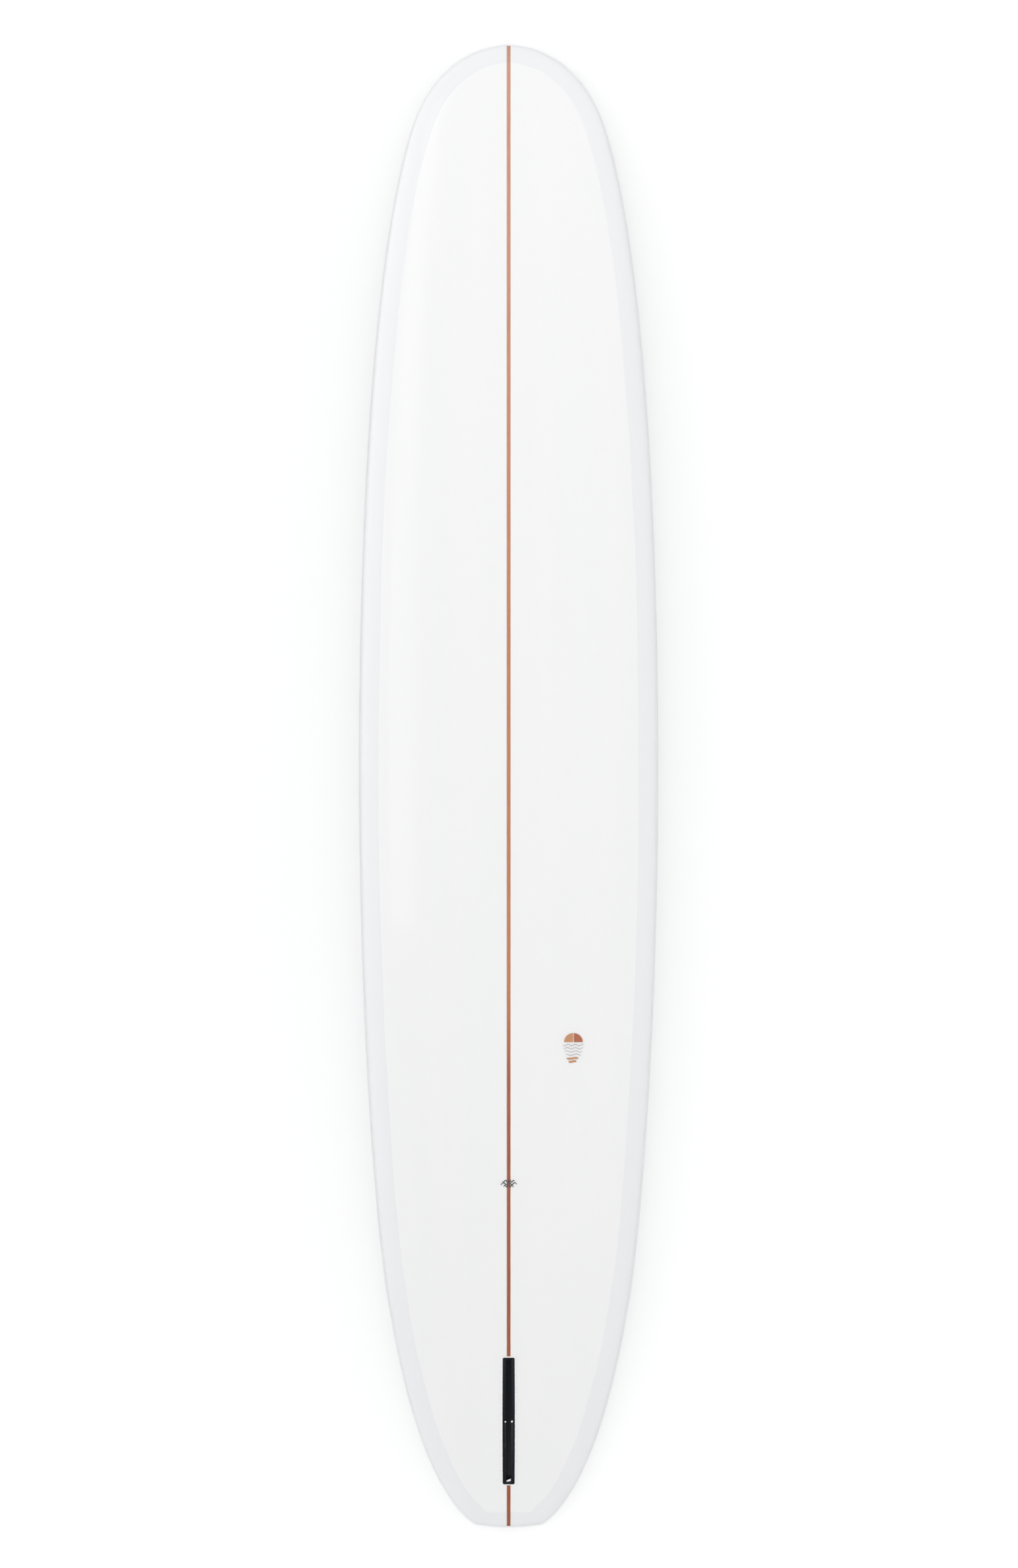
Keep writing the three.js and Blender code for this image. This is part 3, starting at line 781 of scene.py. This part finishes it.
# ---- the fin box ---------------------------------------------------------------------------------------
def build_fin_box():
    half_x, half_y = FIN_BOX_TOP_WIDTH / 2, FIN_BOX_TOP_LENGTH / 2
    block = filled(prism(rounded_outline(half_x, half_y, FIN_BOX_CORNER, FIN_BOX_BULGE), -FIN_BOX_DEPTH, 0))
    piece = piece_of("fin_box_body", block, [BOX])
    slot = rounded_outline(FIN_SLOT_WIDTH / 2, FIN_SLOT_LENGTH / 2, 2 * MM, side_steps=2)
    channel = rounded_outline(FIN_CHANNEL_WIDTH / 2, FIN_SLOT_LENGTH / 2 - MM, 1 * MM, side_steps=2)
    notch = rounded_outline(FIN_NOTCH_WIDTH / 2, FIN_NOTCH_LENGTH / 2, 1 * MM, side_steps=2)
    channel_floor = -FIN_CHANNEL_TOP - FIN_CHANNEL_HEIGHT
    cut(
        piece,
        tool(filled(prism(slot, -FIN_SLOT_DEPTH, MM))),
        tool(filled(prism(channel, channel_floor, -FIN_CHANNEL_TOP))),
        tool(filled(prism(notch, channel_floor, MM))),
    )
    bevel = piece.modifiers.new("soft_edges", "BEVEL")
    bevel.width = FIN_BOX_EDGE
    bevel.segments = 2
    bevel.limit_method = "ANGLE"
    bevel.angle_limit = math.radians(50)
    applied(piece)
    piece.data.transform(BOX_FRAME)
    smooth(piece)
    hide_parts("fin_box")


def build_fin_box_resin():
    """A collar that fills the rout, level with the board's bottom."""
    half_x, half_y = FIN_BOX_TOP_WIDTH / 2, FIN_BOX_TOP_LENGTH / 2
    inner = rounded_outline(half_x + 0.02 * MM, half_y + 0.02 * MM, FIN_BOX_CORNER, FIN_BOX_BULGE)
    outer = rounded_outline(half_x + COLLAR, half_y + COLLAR, FIN_BOX_CORNER + COLLAR, FIN_BOX_BULGE)
    deep = -FIN_BOX_DEPTH - 2 * MM

    def on_surface(outline, lift):
        placed = [BOX_FRAME @ Vector((x, y, 0)) for x, y in outline]
        return [(p.x, p.y, float(surface_height(p.x, p.y, BOTTOM)) + lift) for p in placed]

    def at_depth(outline, depth):
        return [tuple(BOX_FRAME @ Vector((x, y, depth))) for x, y in outline]

    middle = [((a[0] + b[0]) / 2, (a[1] + b[1]) / 2) for a, b in zip(inner, outer)]
    floor_inner = -FIN_BOX_DEPTH - 0.1 * MM
    rings = [
        at_depth(inner, floor_inner),
        on_surface(inner, 0.12 * MM),
        on_surface(middle, 0.03 * MM),
        on_surface(outer, 0.0),
        at_depth(outer, deep),
    ]
    solid = lofted(rings)
    capped(solid)
    piece = piece_of("fin_box_resin", solid, [RESIN])
    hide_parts("fin_box_resin_bed")


# Whitish lumps in the box. The two at the notch are painted highlights, standing in for light on the notch's
# walls; the three at the slot's rear end are whitish patches. Each: its place across and along, its half
# sizes and how much it is turned.
BOX_LUMPS_AND_PAINTED_HIGHLIGHTS = [
    (-6.9, -2.2, 2.1, 2.0, 10),
    (6.9, -2.2, 2.3, 2.9, -8),
    (0.4, -126.2, 4.3, 2.2, 8),
    (2.9, -124.6, 1.8, 2.4, -20),
    (-3.3, -127.2, 1.6, 1.5, 35),
]
LUMP_DEPTH, LUMP_TOP = 2.4 * MM, -0.5 * MM


# Builds the whitish lumps; the two at the notch are painted highlights.
def build_box_lumps_and_painted_highlights():
    lumps = bmesh.new()
    for seed, (x, y, half_x, half_y, turn) in enumerate(BOX_LUMPS_AND_PAINTED_HIGHLIGHTS):
        made = bmesh.ops.create_icosphere(lumps, subdivisions=4, radius=1.0)["verts"]
        for vert in made:
            rough = 1 + 0.22 * noise.noise(vert.co * 1.9 + Vector((7 * seed, 3, 1)))
            vert.co *= rough + 0.06 * noise.noise(vert.co * 6 + Vector((0, 5 * seed, 2)))
        place = Matrix.Translation((x * MM, y * MM, LUMP_TOP - LUMP_DEPTH))
        size = Matrix.Diagonal((half_x * MM, half_y * MM, LUMP_DEPTH, 1))
        place @= Matrix.Rotation(math.radians(turn), 4, "Z") @ size
        bmesh.ops.transform(lumps, matrix=BOX_FRAME @ place, verts=made)
    piece_of("fin_box_lumps_and_painted_highlights", lumps, [RESIN])


# ---- the leash plug ------------------------------------------------------------------------------------
def build_leash_plug():
    soft = 0.4 * MM
    cup = [
        (0, -PLUG_DEPTH),
        (PLUG_RADIUS - soft, -PLUG_DEPTH),
        (PLUG_RADIUS, -PLUG_DEPTH + soft),
        (PLUG_RADIUS, -PLUG_FLANGE_HEIGHT),
        (PLUG_FLANGE, -PLUG_FLANGE_HEIGHT),
        (PLUG_FLANGE, -soft),
        (PLUG_FLANGE - 0.3 * soft, -0.3 * soft),
        (PLUG_FLANGE - soft, 0),
        (PLUG_BORE + soft, 0),
        (PLUG_BORE + 0.3 * soft, -0.3 * soft),
        (PLUG_BORE, -soft),
        (PLUG_BORE, PLUG_FLOOR - PLUG_DEPTH + 2 * MM),
        (PLUG_BORE - 0.6 * MM, PLUG_FLOOR - PLUG_DEPTH + 0.6 * MM),
        (PLUG_BORE - 2 * MM, PLUG_FLOOR - PLUG_DEPTH),
        (0, PLUG_FLOOR - PLUG_DEPTH),
    ]
    piece = piece_of("leash_cup", turned(cup), [PLUG])
    lying = Matrix.Translation((0, 0, -PLUG_BAR_BELOW)) @ Matrix.Rotation(math.pi / 2, 4, "Y")
    cut(piece, tool(rod(PLUG_BAR + 0.05 * MM, PLUG_BAR_HALF + 0.1 * MM), lying))
    piece.data.transform(PLUG_FRAME)
    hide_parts("leash_plug_cup")

    bar = piece_of("leash_bar", rod(PLUG_BAR, PLUG_BAR_HALF), [STEEL])
    bar.data.transform(PLUG_FRAME @ lying)
    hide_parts("leash_plug_bar")

    outer, inner = PLUG_FLANGE, PLUG_RADIUS + 0.05 * MM
    top, floor = -PLUG_FLANGE_HEIGHT - 0.05 * MM, -PLUG_DEPTH - 0.05 * MM
    bed = [
        (0, floor - 2 * MM),
        (outer - MM, floor - 2 * MM),
        (outer, floor - MM),
        (outer, top),
        (inner, top),
        (inner, floor),
        (0, floor),
    ]
    bed_piece = piece_of("leash_resin", turned(bed), [RESIN])
    bed_piece.data.transform(PLUG_FRAME)
    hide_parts("leash_plug_resin_bed")


def rod(radius, half):
    soft = 0.3 * MM
    profile = [
        (0, -half),
        (radius - soft, -half),
        (radius, soft - half),
        (radius, half - soft),
        (radius - soft, half),
        (0, half),
    ]
    return turned(profile, 32)


# ---- the two printed marks -----------------------------------------------------------------------------
PRINT_TOP, PRINT_UNDER = 0.45 * MM, 0.7 * MM
NEARLY_CLOSED = 0.001  # the size of a print's last loop, as a share of its first


def printed(solid, rings_of_plan, material_index=0):
    """Adds to solid a thin slab over plan loops, from its outer loop in to its smallest."""

    def sunk(loop, depth):
        return [(x, y, float(surface_height(x, y, BOTTOM, depth))) for x, y in loop]

    top, under = [[sunk(loop, depth) for loop in rings_of_plan] for depth in (PRINT_TOP, PRINT_UNDER)]
    path = top[::-1] + under
    rows = [[solid.verts.new(point) for point in ring] for ring in path]
    for row, after in zip(rows, rows[1:]):
        for k in range(len(row)):
            n = (k + 1) % len(row)
            face = solid.faces.new((row[k], row[n], after[n], after[k]))
            face.material_index = material_index


def wedge_loops(x, y, radius, start, end, steps=48, rings=5):
    """Concentric copies of a disc's wedge, shrinking to its middle."""
    angles = np.radians(np.linspace(start, end, steps))
    rim = [(x, y)] + [(x + radius * math.cos(a), y + radius * math.sin(a)) for a in angles]
    cx, cy = np.mean(rim, axis=0)
    shares = [1 - k / rings for k in range(rings)] + [NEARLY_CLOSED]
    return [[(cx + (px - cx) * share, cy + (py - cy) * share) for px, py in rim] for share in shares]


def ribbon_loops(points, width):
    """A stroke along points, as a thin loop and its own middle line."""
    points = np.array(points)
    tangent = np.gradient(points, axis=0)
    tangent /= np.linalg.norm(tangent, axis=1)[:, None]
    across = np.stack([-tangent[:, 1], tangent[:, 0]], 1)
    taper = np.sqrt(np.clip(1 - np.linspace(-1, 1, len(points)) ** 6, 0.02, 1))[:, None]
    edge = across * width / 2 * taper
    loop = np.concatenate([points + edge, (points - edge)[::-1]])
    core = np.concatenate([points + edge * NEARLY_CLOSED, (points - edge * NEARLY_CLOSED)[::-1]])
    return [[tuple(p) for p in loop], [tuple(p) for p in core]]


def wave(x, y, length, height, crests, phase=0.0, steps=48):
    t = np.linspace(-0.5, 0.5, steps)
    return np.stack([x + length * t, y + height * np.sin(2 * math.pi * crests * t + phase)], 1)


def finished_print(name, node, solid, materials):
    bmesh.ops.remove_doubles(solid, verts=solid.verts, dist=0.002 * MM)
    bmesh.ops.recalc_face_normals(solid, faces=solid.faces)
    piece = piece_of(name, solid, materials)
    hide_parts(node)


SUN_PRINT = (131 * MM, -531 * MM)
RIPPLE_PRINT = (0, -807 * MM)


def build_prints():
    """A half sun in two inks over a rippled sea, and a small set of ripples across the stringer."""
    tan = ink_material("tan_ink", rgba(0.47, 0.22, 0.098), rgba(0.42, 0.19, 0.08))
    brown = ink_material("brown_ink", rgba(0.37, 0.1, 0.03), rgba(0.29, 0.072, 0.02))
    grey = ink_material("grey_ink", rgba(0.3, 0.27, 0.26), rgba(0.2, 0.17, 0.16))
    black = ink_material("dark_ink", rgba(0.03, 0.034, 0.042), rgba(0.015, 0.016, 0.02))
    x, y = SUN_PRINT
    sun = bmesh.new()
    radius, horizon, gap = 18 * MM, y + 12 * MM, 0.8 * MM
    printed(sun, wedge_loops(x - gap, horizon, radius, 90, 180), 0)
    printed(sun, wedge_loops(x + gap, horizon, radius, 0, 90), 1)
    for k, length in enumerate((44 * MM, 41 * MM, 37 * MM, 32 * MM)):
        sea = wave(x, y + (6 - 6.5 * k) * MM, length, 1.5 * MM, 3 - 0.5 * k)
        printed(sun, ribbon_loops(sea, 0.9 * MM), 2)
    for k, length in enumerate((24 * MM, 16 * MM)):
        sand = wave(x - 2 * MM, y - (21 + 6.5 * k) * MM, length, 0.7 * MM, 1.0)
        printed(sun, ribbon_loops(sand, 4.0 * MM), 0)
    finished_print("sun_print", "decal_disc", sun, [tan, brown, grey])
    x, y = RIPPLE_PRINT
    ripples = bmesh.new()
    for k, length in enumerate((25 * MM, 34 * MM, 21 * MM)):
        line = wave(x, y + (5 - 5 * k) * MM, length, 1.9 * MM, 3.0, k)
        printed(ripples, ribbon_loops(line, 1.9 * MM), 0)
    finished_print("ripple_print", "decal_small", ripples, [black])


# ---- building the board --------------------------------------------------------------------------------
def build_board():
    rout, hole = box_rout(COLLAR), plug_hole()
    build_blank(rout, hole)
    build_deck_laminate(hole)
    build_inner_laminate(hole)
    build_bottom_laminate(rout)
    build_finish_coat(rout)
    build_fin_box()
    build_fin_box_resin()
    build_box_lumps_and_painted_highlights()
    build_leash_plug()
    build_prints()
    for cutter in [o for o in scene.objects if o.name.startswith("tool")]:
        bpy.data.objects.remove(cutter)


# ---- floor, light and camera ---------------------------------------------------------------------------
FLOOR_HALF_SIZE = 30.0


def build_floor():
    ground = bmesh.new()
    bmesh.ops.create_grid(ground, x_segments=8, y_segments=8, size=FLOOR_HALF_SIZE)
    mesh = bpy.data.meshes.new("studio_floor")
    ground.to_mesh(mesh)
    ground.free()
    mesh.materials.append(floor_material())
    floor = bpy.data.objects.new("studio_floor", mesh)
    scene.collection.objects.link(floor)


SKY_LEVEL = 0.7
SKY_GLOW, SKY_GLOW_SPREAD = 0.87, math.radians(55)  # more light comes from low on the left
MIRRORED_ALONG = (-0.45, 0.52, 0.4, 2.75)  # in reflections the room brightens from tail to nose
MIRRORED_ACROSS = (-1.0, 1.0, 1.7, 0.3)  # and from right to left
MIRRORED_UP = (0.1, 0.7, 0.4, 1.0)  # and upwards from the horizon


def build_world():
    """A soft white room, brighter at the left. Reflections in it brighten from tail to nose."""
    world = bpy.data.worlds.new("studio")
    scene.world = world
    world.use_nodes = True
    tree = world.node_tree

    def node(kind, inputs, **settings):
        made = tree.nodes.new(kind)
        for key, value in settings.items():
            setattr(made, key, value)
        for key, value in inputs.items():
            if isinstance(value, bpy.types.NodeSocket):
                tree.links.new(value, made.inputs[key])
            else:
                made.inputs[key].default_value = value
        return made

    direction = node("ShaderNodeTexCoord", {}).outputs["Generated"]
    x, y, z = node("ShaderNodeSeparateXYZ", {0: direction}).outputs
    ends = {0: x, 1: -math.cos(SKY_GLOW_SPREAD), 2: -1.0, 3: SKY_LEVEL, 4: SKY_LEVEL + SKY_GLOW}
    level = node("ShaderNodeMapRange", ends, interpolation_type="SMOOTHSTEP").outputs[0]
    mirrored = 1.0
    for axis, (low, high, at_low, at_high) in ((y, MIRRORED_ALONG), (x, MIRRORED_ACROSS), (z, MIRRORED_UP)):
        share = node("ShaderNodeMapRange", {0: axis, 1: low, 2: high, 3: at_low, 4: at_high}).outputs[0]
        mirrored = node("ShaderNodeMath", {0: mirrored, 1: share}, operation="MULTIPLY").outputs[0]
    ray = node("ShaderNodeLightPath", {}).outputs
    strength = node("ShaderNodeMix", {0: ray["Is Glossy Ray"], 2: level, 3: mirrored}).outputs[0]
    strength = node("ShaderNodeMix", {0: ray["Is Camera Ray"], 2: strength, 3: 1.0}).outputs[0]
    background = tree.nodes["Background"]
    background.inputs["Color"].default_value = rgba(0.995, 0.997, 1.0)
    tree.links.new(strength, background.inputs["Strength"])


def lamp(name, light, centre, aim, glossy):
    holder = bpy.data.objects.new(name, light)
    holder.location = centre
    holder.rotation_euler = (Vector(aim) - Vector(centre)).to_track_quat("-Z", "Y").to_euler()
    holder.visible_camera = False
    holder.visible_glossy = glossy
    scene.collection.objects.link(holder)


def panel(name, centre, aim, size, radiance, glossy=False):
    """A rectangular soft light of a given brightness to look at."""
    light = bpy.data.lights.new(name, "AREA")
    light.shape = "RECTANGLE"
    light.size, light.size_y = size
    light.energy = radiance * math.pi * size[0] * size[1]
    lamp(name, light, centre, aim, glossy)


def overhead(name, irradiance, spread):
    """Light from straight above, whose shadows fall under the board."""
    light = bpy.data.lights.new(name, "SUN")
    light.energy = irradiance
    light.angle = spread
    lamp(name, light, (0, 0, 5), (0, 0.0001, 0), False)


def build_lights():
    overhead("overhead", 0.42 * math.pi, math.radians(8))
    panel("strip_left", (-1.3, 3.0, 8.0), (-1.3, 3.0, 0), (0.9, 8.0), 0.6, glossy=True)
    low = 1.15
    for name, y, radiance in (("right_of_nose", 1.5, 1.1), ("right_of_tail", -1.5, 1.4)):
        panel(name, (3.0, y, low), (0, y, 0), (3.0, 0.8), radiance)


CAMERA_DISTANCE = 6.0
CAMERA_X, CAMERA_Y = 0.7 * MM, 2.7 * MM
FRAME_HEIGHT = 3.1635  # how much of the plane on top of the board the picture's long side takes in
SENSOR = 36


def build_camera():
    camera = bpy.data.cameras.new("camera")
    camera.sensor_fit = "AUTO"
    camera.sensor_width = SENSOR
    camera.lens = SENSOR * CAMERA_DISTANCE / FRAME_HEIGHT
    camera.clip_end = 100
    holder = bpy.data.objects.new("camera", camera)
    holder.location = (CAMERA_X, CAMERA_Y, cad_box[1].z + CAMERA_DISTANCE)
    scene.collection.objects.link(holder)
    scene.camera = holder


build_camera()
build_board()
build_floor()
build_world()
build_lights()
scene.view_settings.view_transform = "Standard"
scene.cycles.transparent_max_bounces = 32
